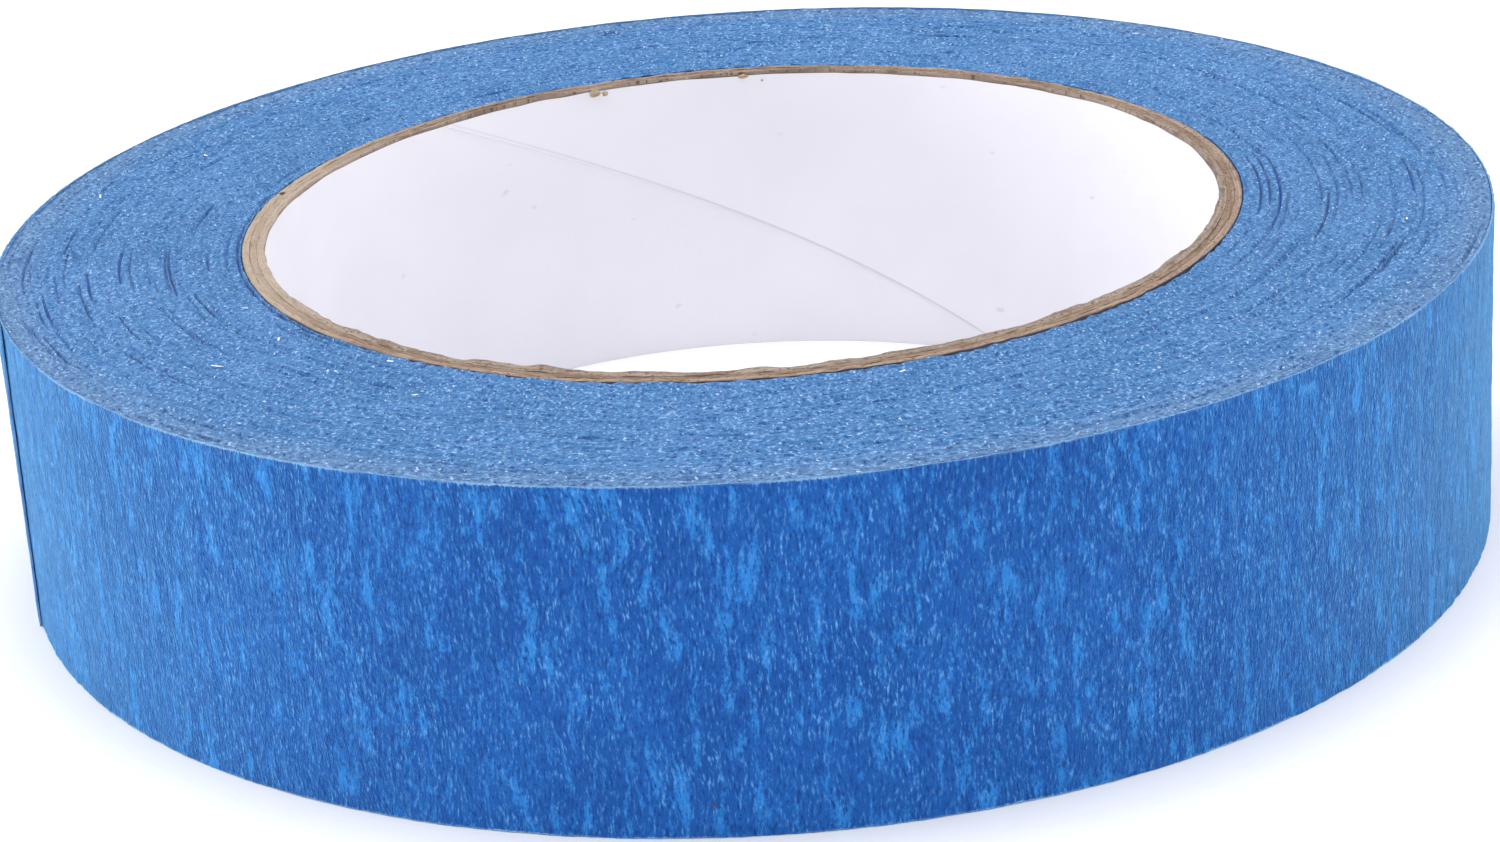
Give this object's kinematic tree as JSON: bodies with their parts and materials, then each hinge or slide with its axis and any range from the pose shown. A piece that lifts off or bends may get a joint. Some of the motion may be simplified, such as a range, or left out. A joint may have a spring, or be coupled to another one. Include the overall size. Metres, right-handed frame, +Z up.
{
  "type": "masking tape roll",
  "caption": "Roll of blue crepe-paper masking tape on a kraft-board core with a white paper liner, lying flat, with a free end that peels.",
  "frame": {"origin": "centre of the roll's bore, in the plane of the face it lies on", "axes": "+Z up along the roll's axis; -X towards the free end of the tape; the tape winds outwards counter-clockwise seen from above"},
  "size_m": [0.1189, 0.1187, 0.026],
  "materials": {
    "liner_paper": "matte smooth white liner paper",
    "kraft_board": "matte brown kraft board, cut edge",
    "tape_cut_edges": "matte blue, cut edges of many turns",
    "tape_crepe": "low sheen crinkled blue crepe paper"
  },
  "bodies": {
    "roll": {"core_liner": "liner_paper", "core_ply_inner": "kraft_board", "core_ply_middle": "kraft_board", "core_ply_outer": "kraft_board", "tape_windings": "tape_cut_edges", "tape_outer_turn": "tape_crepe"},
    "free_end": {"tape_free_end": "tape_crepe"}
  },
  "joints": [
    {"name": "free_end_peel", "type": "hinge", "parent": "roll", "child": "free_end", "pos_m": [-0.05916, 0.00622, 0.013], "axis": [0, 0, -1], "range_deg": [0, 150]}
  ]
}
